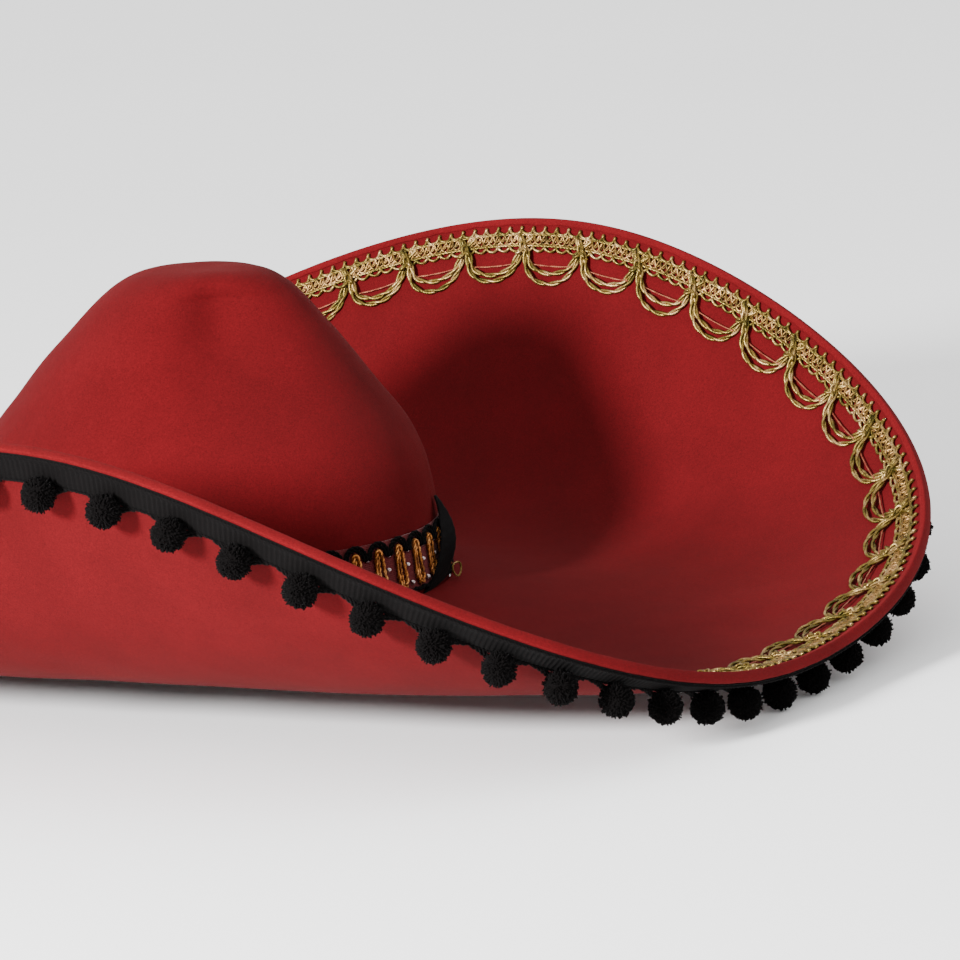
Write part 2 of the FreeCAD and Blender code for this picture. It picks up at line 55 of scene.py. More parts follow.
# The crown's outline from its foot to its top, as shares of its half length and height.
CROWN_OUTLINE = (
    (1.0, 0.0), (0.972, 0.185), (0.937, 0.37), (0.87, 0.487), (0.778, 0.585),
    (0.672, 0.694), (0.53, 0.822), (0.41, 0.92), (0.305, 0.973), (0.05, 1.0),
)
BRIM_RADIUS, BRIM_OVAL, BRIM_SQUARENESS, BRIM_LOBES = 0.2748, 0.0324, 0.012, 0.0057
RIM_HEIGHT, RIM_UPTURN, RIM_LOBES, RIM_FRONT_LIFT = 0.0456, 0.0626, 0.002, 0.0096
CORNER_DIP, CORNER_ANGLE, CORNER_SPREAD = 0.010, 56, 20
BRIM_SAG, BRIM_CURL, BRIM_BEND = 0.0134, 0.0084, 2.88
GLUE, CROWN_GAP = 0.0001, 0.001
FELT_LOW = 0.00055   # the brim's middle surface to the inside of either felt
FELT_TOP = FELT_LOW + 0.0011
SKIN = FELT_TOP + GLUE   # where trim lies on either felt
BINDING_DEPTH, BINDING_THICKNESS = 0.0024, 0.0006
TAPE_INSET, TAPE_WIDTH, TAPE_THICKNESS = 0.0028, 0.0115, 0.001
POMPOM_RADIUS, POMPOM_PITCH, POMPOM_DROP, POMPOM_INSET = 0.007, 0.0283, 0.0027, 0.011
BRAID_INSET, HEADER_WIDTH, SCALLOP_PITCH, SCALLOP_DEPTH = 0.0038, 0.0108, 0.030, 0.0137
INNER_SCALLOP_DEPTH = 0.0101
HATBAND_RISE, HATBAND_HEIGHT, HATBAND_THICKNESS, HATBAND_PITCH = 0.0028, 0.024, 0.0007, 0.0115
LOOP_LENGTH, LOOP_WIDTH, ARCH_RADIUS = 0.0178, 0.0040, 0.0052
KEEPER_OVERHANG, KEEPER_ANGLE, TIE_ANGLE = 0.009, -78, -76
SWEATBAND_THICKNESS, SWEATBAND_TOP = 0.0012, 0.038

TURN = 2 * math.pi
SMALL = 1e-3   # step for slopes
FOOT_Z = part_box("crown_felt")[0][2] + CROWN_FOOT_DEPTH   # height of the crown's foot
random = np.random.default_rng(7)


# ---- the crown's and the brim's surfaces

def unit(vectors):
    return vectors / np.linalg.norm(vectors, axis=-1, keepdims=True)


def level(vectors):
    """The directions without their rise."""
    return unit(vectors * (1, 1, 0))


def smooth_through(points):
    """A function of 0 to 1 that runs smoothly through the points: a cubic spline."""
    points = np.array(points)
    knots = np.concatenate(([0], np.cumsum(np.linalg.norm(np.diff(points, axis=0), axis=1))))
    knots /= knots[-1]
    gaps, count = np.diff(knots), len(points)
    system, right = np.eye(count), np.zeros_like(points)
    for k in range(1, count - 1):
        system[k, k - 1:k + 2] = gaps[k - 1], 2 * (gaps[k - 1] + gaps[k]), gaps[k]
        right[k] = 6 * ((points[k + 1] - points[k]) / gaps[k] - (points[k] - points[k - 1]) / gaps[k - 1])
    bends = np.linalg.solve(system, right)

    def at(along):
        along = np.clip(along, 0, 1)
        k = np.clip(np.searchsorted(knots, along, side="right") - 1, 0, count - 2)
        near = ((knots[k + 1] - along) / gaps[k])[..., None]
        far = 1 - near
        curve = (near ** 3 - near) * bends[k] + (far ** 3 - far) * bends[k + 1]
        return near * points[k] + far * points[k + 1] + curve * (gaps[k] ** 2)[..., None] / 6

    return at


crown_outline = smooth_through(CROWN_OUTLINE)
OUTLINE_STEPS = np.linspace(0, 1, 1000)
OUTLINE_HEIGHTS = crown_outline(OUTLINE_STEPS)[:, 1] * CROWN_HEIGHT


def oval(angle, half_width, half_length):
    return 1 / np.hypot(np.cos(angle) / half_width, np.sin(angle) / half_length)


def crown_point(angle, along):
    """Points of the crown's outer face; along is 0 at its foot and 1 at its top."""
    angle, along = np.broadcast_arrays(np.asarray(angle, float), np.asarray(along, float))
    share, rise = np.moveaxis(crown_outline(along), -1, 0)
    height = rise * CROWN_HEIGHT
    radius = oval(angle, CROWN_HALF_WIDTH * share, CROWN_HALF_LENGTH * share)
    for middle in PINCH_ANGLES:
        turn = (np.degrees(angle) - middle + 180) % 360 - 180
        away = (turn / PINCH_SPREAD) ** 2 + ((height - PINCH_HEIGHT) / PINCH_REACH) ** 2
        radius = radius - PINCH_DEPTH * np.exp(-away) * np.minimum(1, share / 0.4) ** 2
    lean = CROWN_LEAN * (np.maximum(rise - LEAN_START, 0) / (1 - LEAN_START)) ** 1.5
    return np.stack((radius * np.cos(angle), radius * np.sin(angle) - lean, height + FOOT_Z), -1)


def crown_frame(angle, along):
    """Points, directions round the crown, up its wall and out of it."""
    around = unit(crown_point(angle + SMALL, along) - crown_point(angle - SMALL, along))
    high, low = np.minimum(along + SMALL, 1), np.maximum(along - SMALL, 0)
    normal = unit(np.cross(around, crown_point(angle, high) - crown_point(angle, low)))
    return crown_point(angle, along), around, np.cross(normal, around), normal


def along_at_height(height):
    return np.interp(height, OUTLINE_HEIGHTS, OUTLINE_STEPS)


def on_crown(angle, height, offset):
    """Points at a height over the foot and an offset out from the crown's face."""
    angle, height, offset = np.broadcast_arrays(angle, height, offset)
    point, _, _, normal = crown_frame(angle, along_at_height(np.maximum(height, 0)))
    point = point + normal * offset[..., None]
    point[..., 2] += np.minimum(height, 0)
    return point


def brim_point(angle, share):
    """Points of the brim's middle surface; share is 0 at the crown and 1 at the rim."""
    angle, share = np.broadcast_arrays(np.asarray(angle, float), np.asarray(share, float))
    double, fourfold, sixfold = (np.cos(fold * angle) for fold in (2, 4, 6))
    rim = BRIM_RADIUS - BRIM_OVAL * double - BRIM_SQUARENESS * fourfold + BRIM_LOBES * sixfold
    height = RIM_HEIGHT + RIM_UPTURN * double - RIM_LOBES * sixfold
    height = height - RIM_FRONT_LIFT * (np.sin(angle) + np.sin(3 * angle))
    turn = (np.degrees(angle) - CORNER_ANGLE + 180) % 360 - 180
    height = height - CORNER_DIP * np.exp(-(turn / CORNER_SPREAD) ** 2)
    foot = oval(angle, CROWN_HALF_WIDTH, CROWN_HALF_LENGTH)
    radius = foot + (rim - foot) * share
    rise = (height - BRIM_CURL) * np.abs(share) ** BRIM_BEND + BRIM_CURL * share ** 8
    rise = rise - 4 * BRIM_SAG * share * (1 - share)
    return np.stack((radius * np.cos(angle), radius * np.sin(angle), rise + FOOT_Z), -1)


def brim_frame(angle, share):
    """Points, directions round the brim, in towards the crown and up from the brim."""
    inward = unit(brim_point(angle, np.maximum(share - SMALL, 0)) - brim_point(angle, share + SMALL))
    around = unit(brim_point(angle + SMALL, share) - brim_point(angle - SMALL, share))
    return brim_point(angle, share), around, inward, unit(np.cross(around, inward))


def share_from_rim(angle, distance, steps=8):
    """The shares that lie a distance in from the rim, measured along the brim."""
    share = np.ones(np.broadcast(angle, distance).shape)
    for _ in range(steps):
        stretch = np.linalg.norm(brim_point(angle, share + SMALL) - brim_point(angle, share - SMALL), axis=-1)
        share = share - distance / steps * 2 * SMALL / stretch
    return share


def on_brim(angle, distance, offset):
    """Points a distance in from the rim and an offset above the brim's middle surface."""
    point, _, _, normal = brim_frame(angle, share_from_rim(angle, distance))
    return point + normal * np.asarray(offset, float)[..., None]


def pacing(place, start=0.0):
    """The angle as a function of length along the closed curve place(angle), and its length."""
    angles = start + np.linspace(0, TURN, 1441)
    steps = np.linalg.norm(np.diff(place(angles), axis=0), axis=1)
    lengths = np.concatenate(([0], np.cumsum(steps)))
    whole = lengths[-1]

    def angle_at(length):
        turns = np.floor(length / whole)
        return np.interp(length - turns * whole, lengths, angles) + turns * TURN

    return angle_at, whole


def middles(whole, pitch, multiple=1):
    """Lengths of the middles of evenly spaced things along a closed curve."""
    count = multiple * round(whole / pitch / multiple)
    return whole * (np.arange(count) + 0.5) / count


def lumps(points, wavelength, amount, seed, waves=9):
    """A soft unevenness over space, as a sum of waves in random directions."""
    draw = np.random.default_rng(seed)
    directions = unit(draw.normal(size=(waves, 3)))
    scales = TURN / wavelength * draw.uniform(0.6, 1.5, waves)
    phases = draw.uniform(0, TURN, waves)
    return amount * np.sin(points @ directions.T * scales + phases).sum(-1) / math.sqrt(waves)


# ---- meshes

def grid_faces(rows, columns, wrap_rows, wrap_columns):
    row = np.arange(rows if wrap_rows else rows - 1)[:, None]
    column = np.arange(columns if wrap_columns else columns - 1)[None, :]
    after, beside = (row + 1) % rows * columns, (column + 1) % columns
    row = row * columns
    corners = (row + column, row + beside, after + beside, after + column)
    return np.stack(np.broadcast_arrays(*corners), -1).reshape(-1, 4)


def outward(points, faces):
    """The faces of a closed surface, turned so that they face out."""
    corner = points[faces]
    volume = 0
    for k in range(1, faces.shape[1] - 1):
        volume += np.einsum("ij,ij->", corner[:, 0], np.cross(corner[:, k], corner[:, k + 1]))
    return faces if volume > 0 else faces[:, ::-1]


def ringed(section):
    """A closed hoop from its sections: an array of turns, section points and coordinates."""
    faces = grid_faces(*section.shape[:2], True, True)
    points = section.reshape(-1, 3)
    return points, [outward(points, faces)]


def tubes(paths, lifts, radius, sides=6, closed=False):
    """Round tubes along many paths at once. lifts point up from the surface they lie on."""
    if closed:
        tangents = np.roll(paths, -1, axis=1) - np.roll(paths, 1, axis=1)
    else:
        tangents = np.gradient(paths, axis=1)
    tangents = unit(tangents)
    sideways = unit(np.cross(lifts, tangents))
    upward = np.cross(tangents, sideways)
    turn = TURN * np.arange(sides) / sides
    reach = np.broadcast_to(np.asarray(radius, float), paths.shape[:2])[..., None, None]
    out = np.cos(turn)[:, None] * sideways[:, :, None] + np.sin(turn)[:, None] * upward[:, :, None]
    points = (paths[:, :, None] + reach * out)
    count, length = paths.shape[:2]
    one = grid_faces(length, sides, closed, True)
    starts = np.arange(count)[:, None, None] * length * sides
    faces = [(one + starts).reshape(-1, 4)]
    if not closed:
        ring = np.arange(sides)
        caps = np.stack((ring[::-1], ring + (length - 1) * sides))
        faces.append((caps + starts).reshape(-1, sides))
    return points.reshape(-1, 3), faces


def twisted(paths, lifts, radius, lay, plies=2, sides=6, closed=False, start=0.0):
    """Cords of round strands laid together, each strand a tube that winds about the path."""
    if closed:
        steps = np.linalg.norm(np.roll(paths, -1, axis=1) - paths, axis=-1)
        lengths = np.cumsum(steps, axis=1) - steps
        whole = steps.sum(axis=1, keepdims=True)
        lay = whole / np.round(whole / lay)
        tangents = np.roll(paths, -1, axis=1) - np.roll(paths, 1, axis=1)
    else:
        steps = np.linalg.norm(np.diff(paths, axis=1), axis=-1)
        lengths = np.concatenate((np.zeros((len(paths), 1)), np.cumsum(steps, axis=1)), axis=1)
        tangents = np.gradient(paths, axis=1)
    sideways = unit(np.cross(lifts, unit(tangents)))
    upward = np.cross(unit(tangents), sideways)
    strand = radius / (1 + 1 / math.sin(math.pi / plies)) * 1.08
    wind = radius - strand
    parts = []
    for ply in range(plies):
        turn = (TURN * (lengths / lay + ply / plies) + start)[..., None]
        line = paths + wind * (np.cos(turn) * sideways + np.sin(turn) * upward)
        parts.append(tubes(line, lifts, strand, sides, closed))
    return join(parts)


def join(parts):
    """Several (points, faces) as one."""
    points, faces, start = [], [], 0
    for some, lists in parts:
        points.append(some)
        faces += [found + start for found in lists]
        start += len(some)
    return np.concatenate(points), faces


def piece(name, parts, surface, slot, *nodes, sharp=None):
    """A mesh object that rides on the hat and stands for some CAD nodes."""
    points, faces = join(parts)
    sizes = np.concatenate([np.full(len(found), found.shape[1]) for found in faces])
    corners = np.concatenate([found.ravel() for found in faces])
    mesh = bpy.data.meshes.new(name)
    mesh.vertices.add(len(points))
    mesh.vertices.foreach_set("co", points.ravel())
    mesh.loops.add(len(corners))
    mesh.loops.foreach_set("vertex_index", corners.astype(np.int32))
    mesh.polygons.add(len(sizes))
    mesh.polygons.foreach_set("loop_start", (np.cumsum(sizes) - sizes).astype(np.int32))
    mesh.update(calc_edges=True)
    mesh.shade_smooth()
    if sharp:
        mesh.set_sharp_from_angle(angle=math.radians(sharp))
    mesh.materials.append(surface)
    item = bpy.data.objects.new(name, mesh)
    bpy.context.scene.collection.objects.link(item)
    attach(item, "root")
    if nodes:
        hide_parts(*nodes)
    return item


# ---- materials

def linear(*srgb):
    """A colour from 0-255 screen values."""
    return tuple((c / 255 / 12.92 if c <= 10 else ((c / 255 + 0.055) / 1.055) ** 2.4) for c in srgb) + (1,)


class Surface:
    """A node material that is built up a node at a time."""

    def __init__(self, name, roughness, **sockets):
        self.material = bpy.data.materials.new(name)
        self.material.use_nodes = True
        self.tree = self.material.node_tree
        self.shader = self.tree.nodes["Principled BSDF"]
        self.shader.inputs["Roughness"].default_value = roughness
        for socket, value in sockets.items():
            self.shader.inputs[socket.replace("_", " ")].default_value = value
        self.where = self.tree.nodes.new("ShaderNodeTexCoord").outputs["Object"]

    def node(self, kind, **values):
        made = self.tree.nodes.new(kind)
        for key, value in values.items():
            if key[0].isupper():
                made.inputs[key.replace("_", " ")].default_value = value
            else:
                setattr(made, key, value)
        return made

    def link(self, out, into):
        self.tree.links.new(out, into)

    def noise(self, scale, detail=3.0, roughness=0.55, distortion=0.0):
        made = self.node("ShaderNodeTexNoise", Scale=scale, Detail=detail, Roughness=roughness,
                         Distortion=distortion)
        self.link(self.where, made.inputs["Vector"])
        return made.outputs["Fac"]

    def cells(self, scale, feature="F1"):
        made = self.node("ShaderNodeTexVoronoi", Scale=scale, feature=feature)
        self.link(self.where, made.inputs["Vector"])
        return made.outputs["Distance"]

    def ramp(self, fac, *stops):
        made = self.node("ShaderNodeValToRGB")
        elements = made.color_ramp.elements
        while len(elements) < len(stops):
            elements.new(0.5)
        for element, (position, colour) in zip(elements, stops):
            element.position, element.color = position, colour
        self.link(fac, made.inputs["Fac"])
        return made.outputs["Color"]

    def mix(self, fac, first, second, blend="MIX"):
        made = self.node("ShaderNodeMix", data_type="RGBA", blend_type=blend)
        for value, socket in ((fac, made.inputs[0]), (first, made.inputs[6]), (second, made.inputs[7])):
            if isinstance(value, bpy.types.NodeSocket):
                self.link(value, socket)
            else:
                socket.default_value = value
        return made.outputs[2]

    def bump(self, *heights):
        """Adds bumps, each a height, a strength and a depth in metres."""
        normal = None
        for height, strength, depth in heights:
            made = self.node("ShaderNodeBump", Strength=strength, Distance=depth)
            self.link(height, made.inputs["Height"])
            if normal:
                self.link(normal, made.inputs["Normal"])
            normal = made.outputs["Normal"]
        self.link(normal, self.shader.inputs["Normal"])

    def finish(self, colour, roughness=None):
        self.link(colour, self.shader.inputs["Base Color"])
        if roughness:
            low, high, fac = roughness
            ramped = self.ramp(fac, (0.25, (low,) * 3 + (1,)), (0.75, (high,) * 3 + (1,)))
            self.link(ramped, self.shader.inputs["Roughness"])
        return self.material


def felt_material(name, deep, lit):
    """Pressed wool: matted fibres, cloudy dye and a soft nap."""
    felt = Surface(name, 0.95, Sheen_Weight=0.04, Sheen_Roughness=0.45, Sheen_Tint=linear(225, 80, 75),
                   Specular_IOR_Level=0.08)
    clouds = felt.ramp(felt.noise(24, 4, 0.6), (0.3, deep), (0.7, lit))
    flecks = felt.ramp(felt.noise(1500, 3, 0.7, 1.5),
                       (0.36, linear(196, 188, 188)), (0.66, linear(255, 255, 255)))
    felt.bump((felt.noise(2600, 4, 0.7, 2.5), 0.35, 0.00025), (felt.noise(420, 3, 0.6), 0.25, 0.0003))
    return felt.finish(felt.mix(1.0, clouds, flecks, "MULTIPLY"))


def gold_material(name, dark, middle, light):
    """Metallic film wound on a thread, pale where it shines."""
    gold = Surface(name, 0.34, Metallic=0.8, Specular_IOR_Level=0.6)
    tone = gold.ramp(gold.noise(170, 2, 0.6), (0.32, dark), (0.5, middle), (0.66, light))
    film = gold.ramp(gold.noise(2100, 2, 0.7), (0.36, linear(150, 132, 108)), (0.58, linear(255, 252, 242)))
    gold.bump((gold.noise(2600, 2, 0.7), 0.5, 0.0002))
    return gold.finish(gold.mix(1.0, tone, film, "MULTIPLY"), (0.22, 0.48, gold.noise(900, 2)))


def pink_gold_material():
    """The thin thread across the scallops, where more of its pink core shows."""
    gold = Surface("pink_gold_thread", 0.4, Metallic=0.6)
    tone = gold.ramp(gold.noise(420, 2, 0.6), (0.35, linear(116, 44, 32)), (0.65, linear(146, 86, 60)))
    gold.bump((gold.noise(2600, 2, 0.7), 0.5, 0.0002))
    return gold.finish(tone)


def thread_material(name, dark, light, sheen=0.15, roughness=0.85, gloss=0.25):
    """Spun thread with fine fibres."""
    thread = Surface(name, roughness, Sheen_Weight=sheen, Sheen_Roughness=0.4, Specular_IOR_Level=gloss)
    tone = thread.ramp(thread.noise(1700, 3, 0.7), (0.3, dark), (0.72, light))
    thread.bump((thread.noise(3000, 3, 0.7, 1.0), 0.6, 0.0002))
    return thread.finish(tone)


def leather_material():
    """Leatherette with a pebbled grain and rubbed spots."""
    leather = Surface("sweatband_leather", 0.5, Specular_IOR_Level=0.45, Coat_Weight=0.05)
    tone = leather.ramp(leather.noise(60, 4, 0.6), (0.3, linear(30, 26, 25)), (0.7, linear(48, 42, 39)))
    pebbles = leather.cells(1100)
    leather.bump((pebbles, 0.5, 0.0002), (leather.noise(4000, 2), 0.2, 0.0001))
    return leather.finish(tone, (0.38, 0.62, leather.noise(300, 3)))


def satin_material():
    """Black satin: dark, with a long sheen along its folds."""
    satin = Surface("black_satin", 0.36, Anisotropic=0.4, Sheen_Weight=0.1, Specular_IOR_Level=0.6)
    tone = satin.ramp(satin.noise(300, 3, 0.6), (0.3, linear(22, 20, 23)), (0.7, linear(36, 33, 38)))
    satin.bump((satin.noise(3500, 2, 0.6), 0.2, 0.0001))
    return satin.finish(tone)


def weave_material(name, dark, light, pitch, roughness=0.85, sheen=0.1):
    """A plain weave of two sets of threads, by waves along the three directions."""
    cloth = Surface(name, roughness, Sheen_Weight=sheen, Sheen_Roughness=0.4, Specular_IOR_Level=0.3)
    waves = []
    for direction in ("X", "Y", "Z"):
        wave = cloth.node("ShaderNodeTexWave", Scale=math.pi / 10 / pitch, Distortion=0.4, Detail=1.0,
                          bands_direction=direction)
        cloth.link(cloth.where, wave.inputs["Vector"])
        waves.append(wave.outputs["Color"])
    crossed = cloth.mix(0.5, cloth.mix(0.5, waves[0], waves[1]), waves[2])
    tone = cloth.mix(cloth.noise(900, 3, 0.7), dark, light)
    cloth.bump((crossed, 0.7, pitch * 0.4), (cloth.noise(3200, 2, 0.7), 0.4, 0.0001))
    return cloth.finish(tone)


def board_material():
    board = Surface("grey_board", 0.9, Specular_IOR_Level=0.2)
    tone = board.ramp(board.noise(500, 5, 0.7), (0.3, linear(122, 108, 88)), (0.7, linear(160, 146, 124)))
    board.bump((board.noise(1400, 3, 0.7), 0.4, 0.0002))
    return board.finish(tone)


def steel_material():
    steel = Surface("drawn_steel", 0.35, Metallic=1.0)
    tone = steel.ramp(steel.noise(700, 3, 0.6), (0.3, linear(150, 150, 153)), (0.7, linear(196, 196, 198)))
    steel.bump((steel.noise(5000, 2), 0.2, 0.0001))
    return steel.finish(tone)


RED_FELT = felt_material("red_felt", linear(78, 8, 12), linear(88, 10, 15))
RED_BINDING = felt_material("red_binding", linear(86, 10, 14), linear(98, 13, 18))
GOLD = gold_material("gold_thread", linear(84, 76, 26), linear(128, 108, 50), linear(172, 146, 102))
ROSE_GOLD = gold_material("rose_gold_thread", linear(84, 66, 28), linear(132, 102, 52), linear(172, 136, 92))
BRIGHT_GOLD = gold_material("orange_gold_thread", linear(120, 70, 26), linear(176, 112, 52),
                            linear(206, 150, 96))
PINK_GOLD = pink_gold_material()
BLACK_TRIM = thread_material("black_trim", linear(4, 3, 3), linear(11, 9, 9), 0.01, 0.9, 0.06)
BLACK_RIBBON = thread_material("black_ribbon", linear(4, 3, 3), linear(10, 8, 9), 0.01, 0.8, 0.06)
BLACK_WOOL = thread_material("black_wool", linear(3, 2, 2), linear(9, 7, 7), 0.01, 0.95, 0.05)
RED_THREAD = thread_material("red_thread", linear(128, 22, 28), linear(170, 40, 44))
LIGHT_THREAD = thread_material("grey_thread", linear(120, 112, 104), linear(168, 160, 150))
HATBAND_RED = weave_material("hatband_red", linear(62, 8, 12), linear(96, 18, 22), 0.0008)
SATIN = satin_material()
LEATHER = leather_material()


# ---- felt body

def build_crown():
    """The blocked crown, with its inner face, softly uneven as wool felt is."""
    angles = np.linspace(0, TURN, 288, endpoint=False)[:, None]
    outer = np.linspace(0, 1, 150)[None, :]
    inner = np.linspace(1, 0, 40)[None, :]

    def face(along, offset):
        point, _, _, normal = crown_frame(angles, along)
        normal = np.where(along[..., None] == 0, level(normal), normal)
        normal = np.where(along[..., None] == 1, (0, 0, 1), normal)
        point = point - normal * offset
        point[..., 2] -= np.where(along == 0, CROWN_FOOT_DEPTH, 0)
        soft = lumps(point, 0.045, 0.00022, 11) + lumps(point, 0.016, 0.00006, 12)
        return point + normal * soft[..., None] * np.minimum(1, along * 12)[..., None]

    def closing(rim, parts):
        """Rows that close the top towards its middle."""
        middle = rim.mean(axis=0, keepdims=True)
        return middle[:, None] + (rim - middle)[:, None] * np.array(parts)[None, :, None]

    outside, inside = face(outer, 0), face(inner, CROWN_FELT)
    rows = [outside, closing(outside[:, -1], (0.75, 0.5, 0.25, 0.01)),
            closing(inside[:, 0], (0.01, 0.4, 0.7)), inside]
    piece("crown_felt_blocked", [ringed(np.concatenate(rows, axis=1))], RED_FELT, "red_felt",
          "crown_felt", sharp=60)


def brim_face(name, near, far, node, seed):
    """One felt of the brim, with a fine outer face and a coarse one against the board."""
    angles = np.linspace(0, TURN, 448, endpoint=False)[:, None]
    start = CROWN_GAP / np.linalg.norm(brim_point(angles, SMALL) - brim_point(angles, 0), axis=-1) * SMALL
    side = math.copysign(1, far)
    faces = []
    for offset, parts in ((far, np.linspace(0, 1, 86)), (near, np.linspace(1, 0, 16))):
        point, _, _, normal = brim_frame(angles, start + (1 - start) * parts[None, :])
        soft = lumps(point, 0.06, 0.00022, seed) + lumps(point, 0.02, 0.00005, seed + 1)
        held = np.clip((1 - parts) * 9, 0, 1) * np.clip(parts * 9, 0, 1) * (offset == far)
        offset = offset + side * (soft - 0.0001) * held
        faces.append(point + normal * offset[..., None])
    piece(name, [ringed(np.concatenate(faces, axis=1))], RED_FELT, "red_felt", node, sharp=60)


def build_binding():
    """The folded edge that closes the two felts."""
    angles = np.linspace(0, TURN, 1200, endpoint=False)[:, None]
    outside, lip = SKIN + BINDING_THICKNESS, 0.00025
    fold = np.radians(np.linspace(90, -90, 13))
    distance = np.concatenate((
        [BINDING_DEPTH, BINDING_DEPTH + lip / 2, BINDING_DEPTH - lip, 0.0011], -0.0007 * np.cos(fold),
        [0.0011, BINDING_DEPTH - lip, BINDING_DEPTH + lip / 2, BINDING_DEPTH, -GLUE, -GLUE]))
    offset = np.concatenate((
        [SKIN, SKIN + lip, outside, outside], outside * np.sin(fold),
        [-outside, -outside, -SKIN - lip, -SKIN, -SKIN, SKIN]))
    wave = 0.00012 * np.sin(angles * 61 + 2 * np.sin(angles * 7)) + 0.0001 * np.sin(angles * 163)
    worn = np.where(np.abs(offset) > SKIN + lip / 2, 1, 0)
    section = on_brim(angles, distance[None, :] + wave * (distance > 0.001) * worn,
                      offset[None, :] + wave * 0.4 * worn * np.sign(offset))
    piece("rim_binding_folded", [ringed(section)], RED_BINDING, "red_binding", "rim_binding", sharp=55)


def sweatband_point(angle, height, inset):
    """Points of the sweatband: a tapered oval inside the crown's foot."""
    wall = along_at_height(SWEATBAND_TOP)
    narrower = CROWN_HALF_WIDTH - crown_point(0.0, wall)[0]
    shorter = CROWN_HALF_LENGTH - crown_point(math.pi / 2, wall)[1]
    up = (height + CROWN_FOOT_DEPTH) / (SWEATBAND_TOP + CROWN_FOOT_DEPTH)
    inset = inset + CROWN_FELT + 0.0012
    across = (CROWN_HALF_WIDTH - inset - narrower * up) * np.cos(angle)
    along = (CROWN_HALF_LENGTH - inset - shorter * up) * np.sin(angle)
    return np.stack(np.broadcast_arrays(across, along, height + FOOT_Z), -1)


def build_sweatband():
    """Leatherette with a turned top edge and a welt at its foot."""
    angles = np.linspace(0, TURN, 480, endpoint=False)[:, None]
    thick, low, high = SWEATBAND_THICKNESS, -CROWN_FOOT_DEPTH, SWEATBAND_TOP
    edge = 0.0006   # radius of the turned edges
    roll = np.radians(np.linspace(0, 180, 7))
    rise = np.linspace(low + 0.0012, high - 0.0014, 14)
    welt = np.exp(-((rise - 0.0014) / 0.0008) ** 2) * -0.0004
    height = np.concatenate((
        rise, high - edge + edge * np.sin(roll), rise[::-1], low + edge - edge * np.sin(roll)))
    inset = np.concatenate((
        np.zeros_like(rise), thick / 2 - thick / 2 * np.cos(roll),
        thick + welt, thick / 2 + thick / 2 * np.cos(roll)))
    section = sweatband_point(angles, height[None, :], inset[None, :])
    piece("sweatband_turned", [ringed(section)], LEATHER, "sweatband_leather", "sweatband", sharp=70)


def build_lining():
    """Satin gathered to the top of the crown, hung from the stiffener above the sweatband."""
    angles = np.linspace(0, TURN, 600, endpoint=False)[:, None]
    start = along_at_height(0.042)
    thick = 0.0004
    along = np.concatenate((np.linspace(start, 0.985, 46), np.linspace(0.985, start, 46)))[None, :]
    face = np.concatenate((np.zeros(46), np.full(46, thick)))[None, :]
    gather = (along - start) / (1 - start)
    fold = 0.5 + 0.5 * np.sin(60 * angles + 1.5 * np.sin(5 * angles) + gather * 2 * np.sin(3 * angles))
    depth = 0.0034 + face + 0.0016 * fold * np.minimum(1, 0.15 + gather * 2)
    point, _, _, normal = crown_frame(angles, along)
    points = point - normal * depth[..., None]
    lining = piece("crown_lining_gathered", [ringed(points)], SATIN, "satin", "crown_lining", sharp=70)

    crest = points[::6, 46]   # the gathers' ends, under a flat satin tip
    middle = crest.mean(axis=0)
    part = np.array((0.01, 0.6, 1.04, 1.08, 1.0, 0.7, 0.4, 0.01))
    drop = np.array((0.0004, 0.0004, 0.0004, 0.0008, 0.0014, 0.0018, 0.0020, 0.0020))
    tip = middle + (crest - middle)[:, None] * part[None, :, None] - np.array((0, 0, 1)) * drop[None, :, None]
    piece("crown_lining_tip", [ringed(tip)], SATIN, "satin", sharp=70)


def stitches(name, middle, direction, lift, length, radius, surface, node):
    """Short straight stitches whose ends dip into what they hold."""
    part = np.linspace(-0.5, 0.5, 9)[None, :, None]
    dip = (1 - np.abs(part * 2) ** 3) * radius * 0.9
    path = middle[:, None] + direction[:, None] * part * length + lift[:, None] * dip
    lifts = np.broadcast_to(lift[:, None], path.shape)
    piece(name, [twisted(path, lifts, radius, 0.0016, sides=5)], surface, "thread", node)


def build_stitching():
    """The brim seam under the crown's foot and the running stitch round the sweatband."""
    drop = FELT_TOP + CROWN_FOOT_DEPTH / 2 + 0.0008

    def seam(angle):
        point, _, _, normal = crown_frame(angle, np.zeros_like(angle))
        return point + normal * CROWN_GAP / 2 - np.array((0, 0, drop))

    angle_at, whole = pacing(seam)
    angles = angle_at(middles(whole, 0.010))
    out = level(crown_frame(angles, np.zeros_like(angles))[3])
    down = np.broadcast_to((0.0, 0.0, -1.0), out.shape)
    stitches("brim_seam_thread", seam(angles), out, down, 0.005, 0.0004, RED_THREAD, "brim_seam_stitching")

    def running(angle):
        return sweatband_point(angle, 0.0034, SWEATBAND_THICKNESS + 0.0001)

    angle_at, whole = pacing(running)
    angles = angle_at(middles(whole, 0.006))
    around = unit(running(angles + SMALL) - running(angles - SMALL))
    inward = np.cross((0, 0, 1), around)
    stitches("sweatband_thread", running(angles), around, inward, 0.0034, 0.0003, LIGHT_THREAD,
             "sweatband_stitching")


# ---- pompom trim on the brim's outer face

